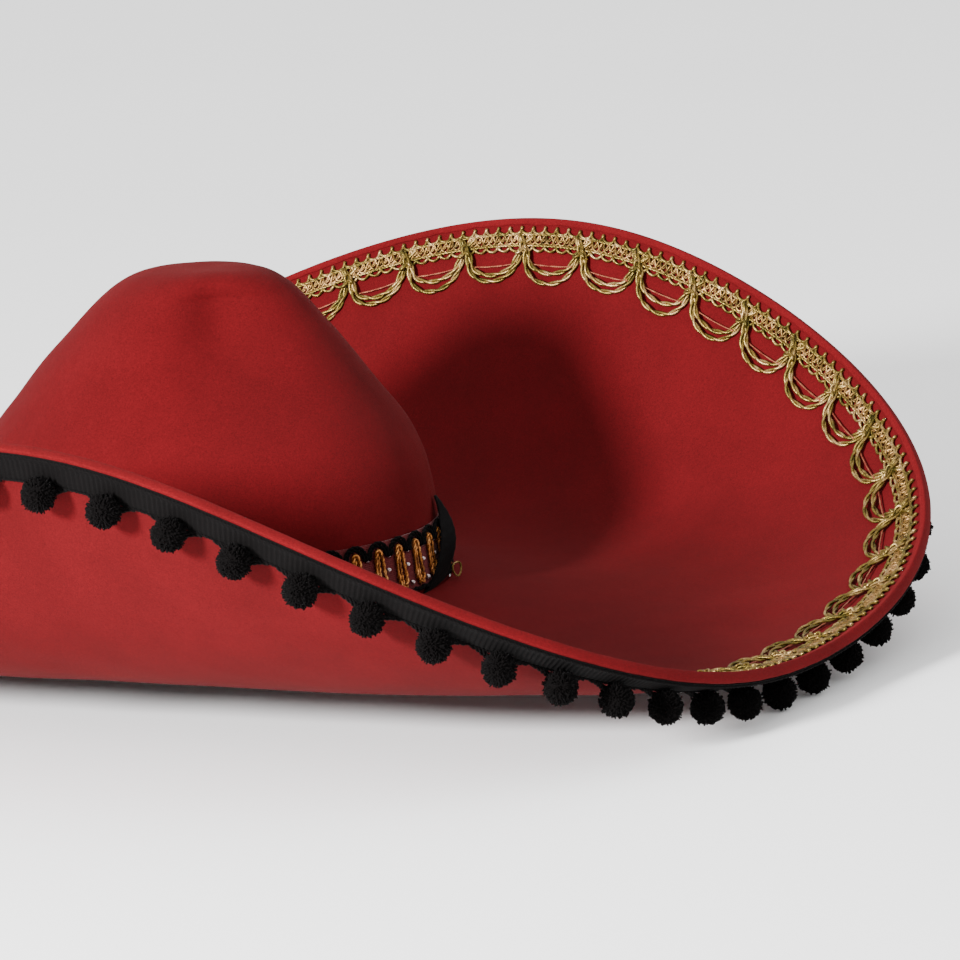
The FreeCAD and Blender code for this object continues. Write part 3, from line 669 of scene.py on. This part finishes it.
def build_tape():
    """Black woven tape: a ribbed middle between two corded edges."""
    near, far = TAPE_INSET - 0.0018, TAPE_INSET + TAPE_WIDTH
    step = BINDING_THICKNESS + 0.0002   # how much higher the tape lies where it covers the binding

    def lower_edge(angle):
        return on_brim(angle, far, -SKIN)

    angle_at, whole = pacing(lower_edge)
    ribs = round(whole / 0.0022)
    steps = np.arange(ribs * 4) / 4
    angles = angle_at(steps / ribs * whole)[:, None]
    across = np.linspace(near, far, 9)
    edge = np.minimum(across - near, far - across)
    over = step * np.clip((BINDING_DEPTH + 0.0012 - across) / 0.0008, 0, 1)
    thick = TAPE_THICKNESS * np.clip(0.35 + edge / 0.0012, 0, 1)
    rib = 0.00022 * np.sin(TURN * steps)[:, None] * (edge > 0)
    slant = 0.0002 * np.sin(TURN * steps / 2 + 1)[:, None] * (edge < 0.0002)
    top = on_brim(angles, across[None, :] + slant, -(SKIN + (thick + over)[None, :] + rib))
    under = on_brim(angles, across[None, ::-1], -SKIN - over[None, ::-1])
    parts = [ringed(np.concatenate((top, under), axis=1))]
    for distance, lift in ((near + 0.0007, step), (far - 0.0007, 0)):
        count = round(whole / 0.0011)
        line = angle_at(np.arange(count) / count * whole)
        path = on_brim(line, distance, -SKIN - 0.0011 - lift)
        normal = -brim_frame(line, share_from_rim(line, distance))[3]
        parts.append(twisted(path[None], normal[None], 0.00065, 0.0032, sides=5, closed=True))
    piece("pompom_tape_woven", parts, BLACK_TRIM, "black_trim", "pompom_tape", sharp=60)


def pompom_centres(angle):
    share = share_from_rim(angle, POMPOM_INSET)
    point, _, inward, normal = brim_frame(angle, share)
    steepness = np.maximum(-inward[..., 2:], 0)
    clear = SKIN + TAPE_THICKNESS + 2 * GLUE + POMPOM_RADIUS
    return point - normal * clear + inward * POMPOM_DROP * steepness


def ball_points():
    """Points and triangles of a plain round ball of radius 1."""
    made = bmesh.new()
    bmesh.ops.create_icosphere(made, subdivisions=3, radius=1)
    points = np.array([v.co for v in made.verts])
    faces = np.array([[v.index for v in face.verts] for face in made.faces])
    made.free()
    return points, faces


def fluffy_balls(centres, tufts=760):
    """Wool balls: a soft core and cut tufts of wool that stand out of it in all directions."""
    core, core_faces = ball_points()
    k = np.arange(tufts) + 0.5
    rise, turn = 1 - 2 * k / tufts, k * math.pi * (3 - math.sqrt(5))
    even = np.stack((np.sqrt(1 - rise ** 2) * np.cos(turn), np.sqrt(1 - rise ** 2) * np.sin(turn), rise), -1)
    corner = TURN * np.arange(3) / 3
    prism = np.array([(0, 1, 4, 3), (1, 2, 5, 4), (2, 0, 3, 5)])
    parts = []
    for number, centre in enumerate(centres):
        spin = np.linalg.qr(random.normal(size=(3, 3)))[0]
        uneven = 1 + lumps(core @ spin, 1.1, 0.03, number)[:, None]
        parts.append((centre + core * 0.86 * POMPOM_RADIUS * uneven, [core_faces]))
        direction = unit(even @ spin + random.normal(scale=0.05, size=even.shape))
        sideways = unit(np.cross(direction, random.normal(size=even.shape)))
        upward = np.cross(direction, sideways)
        bend = random.normal(scale=0.05, size=even.shape)
        reach = random.uniform(0.955, 1.035, (tufts, 1)) + lumps(direction, 1.3, 0.012, number + 500)[:, None]
        ends = []
        for out, wide, lean in ((0.74, 0.085, 0), (reach, 0.05, 1)):
            middle = direction * out + bend * lean
            ends.append(middle[:, None] + wide * (
                np.cos(corner)[None, :, None] * sideways[:, None]
                + np.sin(corner)[None, :, None] * upward[:, None]))
        points = centre + np.concatenate(ends, axis=1).reshape(-1, 3) * POMPOM_RADIUS
        points[:, 2] = np.maximum(points[:, 2], 0.0001)   # the table presses the lowest wool flat
        starts = np.arange(tufts)[:, None, None] * 6
        cut_ends = np.array([[3, 4, 5]]) + starts
        parts.append((points, [(prism + starts).reshape(-1, 4), cut_ends.reshape(-1, 3)]))
    return parts


def build_pompoms():
    """The balls, and the black thread loops that carry them from the tape's edge."""
    angle_at, whole = pacing(pompom_centres, -math.pi / 2)
    angles = angle_at(middles(whole, POMPOM_PITCH, 4))
    centres = pompom_centres(angles)
    half = len(angles) // 2
    piece("pompoms_one_side", fluffy_balls(centres[:half]), BLACK_WOOL, "pompom_wool", "pompoms")
    piece("pompoms_other_side", fluffy_balls(centres[half:]), BLACK_WOOL, "pompom_wool", "pompoms")

    edge, low = TAPE_INSET + TAPE_WIDTH - 0.0004, -(SKIN + TAPE_THICKNESS + 0.0003)
    steps = np.linspace(-1, 1, 33)
    lifts = -brim_frame(angles, share_from_rim(angles, edge))[3][:, None]
    inward = brim_frame(angles, share_from_rim(angles, edge))[2][:, None]
    parts = []
    for reach, hang in ((0.0115, 0.0042), (0.0085, 0.0028)):
        line = angles[:, None] + TURN * reach / whole * steps[None, :]
        start = on_brim(line, edge, low)
        share = (0.5 + 0.5 * np.cos(math.pi * steps))[None, :, None]
        path = start + inward * hang * share + lifts * 0.0012 * share
        parts.append(twisted(path, np.broadcast_to(lifts, path.shape), 0.0009, 0.0045, sides=5))
    piece("pompom_thread_loops", parts, BLACK_TRIM, "black_trim", "pompom_threads")


# ---- gold braid on the brim's inner face

braid_low = BRAID_INSET + HEADER_WIDTH   # rim to the header's lower edge


def braid_line(angle):
    return on_brim(angle, braid_low + 0.001, SKIN)


braid_angle_at, BRAID_LENGTH = pacing(braid_line)
SCALLOPS = middles(BRAID_LENGTH, SCALLOP_PITCH)
WAVES = 5 * len(SCALLOPS)   # waves of the header's threads


def braid_path(along, across, lift):
    """Points on the brim, a length along the braid, in from the header's edge and above the felt."""
    angle = braid_angle_at(along)
    distance, lift = braid_low + across, np.broadcast_to(lift, along.shape)
    point, _, _, normal = brim_frame(angle, share_from_rim(angle, distance))
    return point + normal * (SKIN + lift)[..., None], normal


def header_cord(middle, swing, phase, lift, radius, loops=0.0, per_wave=12, harmonic=1):
    """A wavy cord round the whole braid that passes over and under its neighbours."""
    turn = TURN * np.arange(WAVES * per_wave) / per_wave
    along = turn / TURN * BRAID_LENGTH / WAVES + loops * np.sin(harmonic * turn + phase)
    across = middle + swing * np.cos(harmonic * turn + phase)
    height = lift + radius * 0.6 * np.sin(2 * harmonic * turn + phase)
    path, normal = braid_path(along % BRAID_LENGTH, across, height)
    uneven = 1 + 0.16 * np.sin(turn * 2.5 + phase) + 0.1 * random.uniform(-1, 1, turn.shape)
    return tubes(path[None], normal[None], (radius * uneven)[None], 6, True)


def straight_cord(across, lift, radius, lay):
    """A twisted cord that runs straight round the whole braid."""
    along = np.arange(WAVES * 6) / (WAVES * 6) * BRAID_LENGTH
    path, normal = braid_path(along, np.full_like(along, across), lift)
    return twisted(path[None], normal[None], radius, lay, sides=5, closed=True)


def build_header():
    """The latticed header: picots along the top, crossing threads between and a beaded foot."""
    top = -HEADER_WIDTH
    picots = header_cord(top + 0.0014, 0.0015, 0.0, 0.0008, 0.00062, 0.0012)
    piece("braid_header_picots", [picots, straight_cord(top + 0.0031, 0.0008, 0.00085, 0.0034)], GOLD,
          "gold_braid", "braid_header")
    foot = header_cord(-0.0013, 0.0011, math.pi / 2, 0.0009, 0.00062, 0.0010)
    piece("braid_header_foot", [foot, straight_cord(-0.0028, 0.0008, 0.00085, 0.0034)], GOLD,
          "gold_braid", "braid_header")
    lattice = [header_cord(top / 2 - 0.0001, 0.0023, phase, 0.0008, 0.00056, 0.0006)
               for phase in (0.8, 0.8 + math.pi)]
    lattice.append(header_cord(top / 2, 0.0007, 0.0, 0.0006, 0.00045, 0, 12, 2))
    piece("braid_header_lattice", lattice, ROSE_GOLD, "gold_braid", "braid_header")


def scallop_paths(shape, lift, weave):
    """The same curve in every scallop; shape holds lengths along and in from the header's edge."""
    along = shape[None, :, 0] + SCALLOPS[:, None]
    across = np.broadcast_to(shape[None, :, 1], along.shape)
    uneven = random.uniform(0.94, 1.05, (len(SCALLOPS), 1))
    across = np.where(across > 0, across * uneven, across)
    height = lift + weave * np.tanh(shape[None, :, 0] / 0.004)
    return braid_path(along % BRAID_LENGTH, across, np.broadcast_to(height, along.shape))


def build_scallops():
    """Two U-shaped cords in each scallop, whose legs cross their neighbours' and run up into the header."""
    half = SCALLOP_PITCH / 2
    steps = np.linspace(0, 1, 64)
    for name, node, points in (
        ("braid_scallops_outer", "braid_outer_scallops", (
            (half + 0.0035, -0.0076), (half + 0.0012, -0.0040), (half - 0.0010, -0.0008),
            (half - 0.0019, 0.0034), (half - 0.0042, 0.0085),
            (0.0058, SCALLOP_DEPTH - 0.0012), (0, SCALLOP_DEPTH))),
        ("braid_scallops_inner", "braid_inner_scallops", (
            (half + 0.0020, -0.0068), (half - 0.0002, -0.0034), (half - 0.0026, 0.0002),
            (half - 0.0040, 0.0036), (half - 0.0062, 0.0072),
            (0.0044, INNER_SCALLOP_DEPTH - 0.0009), (0, INNER_SCALLOP_DEPTH))),
    ):
        mirrored = [(-along, across) for along, across in points[:-1]]
        shape = smooth_through(mirrored + list(points)[::-1])(steps)
        paths, normals = scallop_paths(shape, 0.0014, 0.0006)
        piece(name, [twisted(paths, normals, 0.00118, 0.0135, sides=6)], GOLD, "gold_braid", node)


def build_knots():
    """A small knot of gold cord where the legs of two scallops cross."""
    between = SCALLOPS + SCALLOP_PITCH / 2
    turn = np.linspace(0, TURN, 60, endpoint=False)
    along = 0.00135 * (np.sin(turn) + 1.25 * np.sin(2 * turn))
    across = 0.00150 * (np.cos(turn) - 1.25 * np.cos(2 * turn)) - 0.0008
    height = 0.0026 - 0.0009 * np.sin(3 * turn)
    shape = between[:, None] + along[None, :]
    paths, normals = braid_path(shape % BRAID_LENGTH, np.broadcast_to(across, shape.shape), height)
    piece("braid_knots_tied", [tubes(paths, normals, 0.00062, 6, True)], GOLD, "gold_braid", "braid_knots")


def build_cross_threads():
    """One thin thread across each scallop."""
    steps = np.linspace(-1, 1, 25)
    shape = np.stack((steps * 0.0116, 0.0056 + 0.0009 * (1 - steps ** 2)), -1)
    paths, normals = scallop_paths(shape, 0.0012, 0.0)
    piece("braid_cross_threads_spun", [twisted(paths, normals, 0.00048, 0.0022, sides=5)], PINK_GOLD,
          "gold_braid", "braid_cross_threads")


# ---- hatband round the crown's foot

hatband_face = GLUE + HATBAND_THICKNESS
loop_foot = HATBAND_RISE + 0.0031
loop_middle = loop_foot + LOOP_LENGTH / 2


def hatband_line(angle):
    return on_crown(angle, loop_middle, hatband_face)


hatband_angle_at, HATBAND_LENGTH = pacing(hatband_line)
LOOPS = middles(HATBAND_LENGTH, HATBAND_PITCH)


def hatband_path(along, height, lift):
    """Points on the hatband, a length along it, a height over the brim and above its ribbon."""
    angle = hatband_angle_at(along % HATBAND_LENGTH)
    angle, height, lift = np.broadcast_arrays(angle, height, lift)
    normal = crown_frame(angle, along_at_height(height))[3]
    return on_crown(angle, height, hatband_face + lift), normal


def build_hatband():
    """The woven red ground, gold loops, black arches and foot cord."""
    angles = np.linspace(0, TURN, 720, endpoint=False)[:, None]
    top = HATBAND_RISE + HATBAND_HEIGHT
    rise = np.linspace(HATBAND_RISE, top, 13)
    height = np.concatenate((rise, rise[::-1]))[None, :]
    face = np.concatenate((np.full(13, hatband_face), np.full(13, GLUE)))
    soft = 0.0001 * np.sin(angles * 151 + height * 900) * (face > GLUE)
    piece("hatband_ribbon_woven", [ringed(on_crown(angles, height, face[None, :] + soft))], HATBAND_RED,
          "hatband_ground", "hatband_ribbon", sharp=50)

    turn = np.linspace(0, TURN, 56, endpoint=False)
    bar = np.abs(np.sin(turn)) ** 0.55 * np.sign(np.sin(turn))
    along = LOOPS[:, None] + LOOP_WIDTH / 2 * np.cos(turn) * (1.0 - 0.25 * bar)
    paths, normals = hatband_path(along, loop_middle + LOOP_LENGTH / 2 * bar, 0.0011)
    loops = [twisted(paths, normals, 0.00105, 0.0052, closed=True)]
    core = np.linspace(-1, 1, 15)
    along = LOOPS[:, None] + 0.0005 * core ** 2 - 0.0006
    paths, normals = hatband_path(along, loop_middle - 0.0008 + LOOP_LENGTH * 0.42 * core, 0.0010)
    loops.append(twisted(paths, normals, 0.00085, 0.0050))
    piece("hatband_loops_twisted", loops, BRIGHT_GOLD, "gold_braid", "hatband_gold_loops")

    turn = np.radians(np.linspace(-14, 194, 25))
    arch_height = loop_foot + LOOP_LENGTH - LOOP_WIDTH / 2
    arches = []
    for radius, rise in ((ARCH_RADIUS, 0.0013), (ARCH_RADIUS - 0.0013, 0.0010)):
        along = LOOPS[:, None] + radius * np.cos(turn)
        paths, normals = hatband_path(along, arch_height + radius * np.sin(turn), rise)
        arches.append(twisted(paths, normals, 0.00085, 0.0040))
    piece("hatband_arches_twisted", arches, BLACK_TRIM, "black_trim", "hatband_arches")

    count = round(HATBAND_LENGTH / 0.0009)
    along = np.arange(count) / count * HATBAND_LENGTH
    wave = 0.0004 * np.sin(along / HATBAND_LENGTH * TURN * 2 * len(LOOPS))
    paths, normals = hatband_path(along, HATBAND_RISE + 0.0010 + wave, 0.0010)
    piece("hatband_foot_cord_twisted", [twisted(paths[None], normals[None], 0.0010, 0.0042, 3, closed=True)],
          BLACK_TRIM, "black_trim", "hatband_foot_cord")


def build_glints():
    """Little silvery knots where two arches meet and at the loops' feet."""
    turn = np.linspace(0, TURN, 14, endpoint=False)
    parts = []
    places = ((loop_foot + LOOP_LENGTH - 0.0030, 0.5), (loop_foot + 0.0012, 0.5), (loop_middle, 0.38))
    for height, shift in places:
        centre = LOOPS[:, None] + HATBAND_PITCH * shift
        along = centre + 0.0005 * np.cos(turn) + 0.0003 * np.cos(2 * turn)
        lift = 0.0008 + 0.0003 * np.cos(2 * turn)
        paths, normals = hatband_path(along, height + 0.0007 * np.sin(turn), lift)
        parts.append(tubes(paths, normals, 0.0004, 5, True))
    silver = Surface("silver_thread", 0.3, Metallic=0.9)
    tone = silver.ramp(silver.noise(600, 2), (0.3, linear(150, 130, 132)), (0.7, linear(215, 200, 200)))
    silver.bump((silver.noise(3000, 2), 0.4, 0.0002))
    piece("hatband_silver_knots", parts, silver.finish(tone), "gold_braid")


def build_keeper():
    """Plain black ribbon over the hatband's joint: it stands off in a bulge and narrows to its top."""
    columns, rows = 61, 41
    across, up = np.linspace(-1, 1, columns)[:, None], np.linspace(0, 1, rows)[None, :]
    radius = np.linalg.norm(crown_point(math.radians(KEEPER_ANGLE), 0.0)[:2])
    middle = np.radians(KEEPER_ANGLE - 8 + 11 * up ** 0.6)
    angle = middle + across * (0.0012 + 0.0092 * (1 - up ** 2)) / radius
    height = HATBAND_RISE - 0.0012 + (HATBAND_HEIGHT + KEEPER_OVERHANG + 0.0012) * up
    height = height + 0.0008 * across * (1 - up)
    bulge = 0.0010 + 0.0064 * np.sin(math.pi * up) ** 0.9 * (1 - 0.45 * across ** 2)
    rib = 0.00009 * np.sin(height / 0.0011 * TURN)
    rib = rib + 0.0005 * np.sin(across * 5 + up * 2) * np.sin(math.pi * up)
    faces = [on_crown(angle, height, bulge + rib + thick) for thick in (0, 0.0008)]
    points = np.concatenate([face.reshape(-1, 3) for face in faces])
    sheet = grid_faces(columns, rows, False, False)
    count = columns * rows
    number = np.arange(count).reshape(columns, rows)
    border = np.concatenate((number[:, 0], number[-1, 1:], number[-2::-1, -1], number[0, -2:0:-1]))
    after = np.roll(border, -1)
    hem = np.stack((border, after, after + count, border + count), -1)
    faces = np.concatenate((sheet[:, ::-1], sheet + count, hem))
    piece("hatband_keeper_ribbon", [(points, [outward(points, faces)])], BLACK_RIBBON, "black_ribbon",
          "hatband_keeper", sharp=50)

    turn = np.linspace(0, TURN, 40, endpoint=False)
    tie_angle = math.radians(TIE_ANGLE) + 0.0026 * np.cos(turn) / radius
    height = 0.0046 + 0.0028 * np.sin(turn) + 0.0004 * np.cos(2 * turn)
    path = on_crown(tie_angle, height, 0.0056 + 0.0012 * np.cos(turn))
    normal = crown_frame(tie_angle, along_at_height(height))[3]
    piece("hatband_tie_thread", [twisted(path[None], normal[None], 0.0005, 0.0025, closed=True)], GOLD,
          "gold_braid", "hatband_tie")


# ---- pieces inside, which keep their CAD shapes

def dress_inner_nodes():
    buckram = weave_material("buckram", linear(150, 138, 112), linear(190, 178, 150), 0.0012, 0.95)
    for node, surface in (("brim_board", board_material()), ("rim_wire", steel_material()),
                          ("crown_stiffener", buckram)):
        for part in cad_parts[node].material_slots:
            part.material = surface


# ---- camera, floor and light

CAMERA_DISTANCE, LENS = 4.687, 419.8
CAMERA_AZIMUTH, CAMERA_RISE, CAMERA_ROLL = math.radians(-147.63), math.radians(12.363), math.radians(-3.899)
AIM_RIGHT, AIM_UP = math.tan(math.radians(1.4027)), math.tan(math.radians(0.5128))


def camera_directions():
    """Directions back to the camera, to its right and up, before it is aimed off the crown's foot."""
    back = Vector((math.cos(CAMERA_AZIMUTH) * math.cos(CAMERA_RISE),
                   math.sin(CAMERA_AZIMUTH) * math.cos(CAMERA_RISE), math.sin(CAMERA_RISE)))
    level_right = Vector((-math.sin(CAMERA_AZIMUTH), math.cos(CAMERA_AZIMUTH), 0))
    level_up = back.cross(level_right)
    right = level_right * math.cos(CAMERA_ROLL) + level_up * math.sin(CAMERA_ROLL)
    return back, right, back.cross(right)


def build_camera():
    back, right, up = camera_directions()
    data = bpy.data.cameras.new("camera")
    data.lens, data.sensor_width = LENS, 36
    data.clip_start, data.clip_end = 0.1, 100
    camera = bpy.data.objects.new("camera", data)
    forward = (-back + right * AIM_RIGHT + up * AIM_UP).normalized()
    right = (right - forward * right.dot(forward)).normalized()
    place = Matrix((right, right.cross(forward), -forward)).transposed().to_4x4()
    place.translation = Vector((0, 0, FOOT_Z)) + back * CAMERA_DISTANCE
    camera.matrix_world = place
    bpy.context.scene.collection.objects.link(camera)
    bpy.context.scene.camera = camera


def build_light(name, azimuth, rise, distance, across, power, colour=(1, 1, 1)):
    """A round soft light that faces the crown."""
    turn, climb = math.radians(azimuth), math.radians(rise)
    back = Vector((math.cos(turn) * math.cos(climb), math.sin(turn) * math.cos(climb), math.sin(climb)))
    data = bpy.data.lights.new(name, "AREA")
    data.shape, data.size, data.energy, data.color = "DISK", across, power, colour
    light = bpy.data.objects.new(name, data)
    light.matrix_world = back.to_track_quat("Z", "Y").to_matrix().to_4x4()
    light.location = Vector((0, 0, 0.08)) + back * distance
    bpy.context.scene.collection.objects.link(light)


def build_studio():
    mesh = bpy.data.meshes.new("floor")
    far = 14
    mesh.from_pydata([(-far, -far, 0), (far, -far, 0), (far, far, 0), (-far, far, 0)], [], [(0, 1, 2, 3)])
    floor = bpy.data.objects.new("floor", mesh)
    bpy.context.scene.collection.objects.link(floor)
    pale = Surface("pale_floor", 0.9, Specular_IOR_Level=0.1)
    tone = pale.ramp(pale.noise(3, 2), (0.3, linear(250, 250, 250)), (0.7, linear(252, 252, 252)))
    mesh.materials.append(pale.finish(tone))

    world = bpy.data.worlds.new("studio")
    world.use_nodes = True
    world.node_tree.nodes["Background"].inputs["Color"].default_value = (1, 1, 1, 1)
    world.node_tree.nodes["Background"].inputs["Strength"].default_value = 1.5
    bpy.context.scene.world = world
    build_light("key", 174, 18, 2.4, 0.4, 235)
    build_light("fill", -120, 40, 3.0, 1.6, 6)


build_camera()
build_studio()
build_crown()
brim_face("brim_felt_upper", FELT_LOW, FELT_TOP, "brim_top_felt", 21)
brim_face("brim_felt_under", -FELT_LOW, -FELT_TOP, "brim_under_felt", 31)
build_binding()
build_sweatband()
build_lining()
build_stitching()
build_tape()
build_pompoms()
build_header()
build_scallops()
build_knots()
build_cross_threads()
build_hatband()
build_glints()
build_keeper()
dress_inner_nodes()
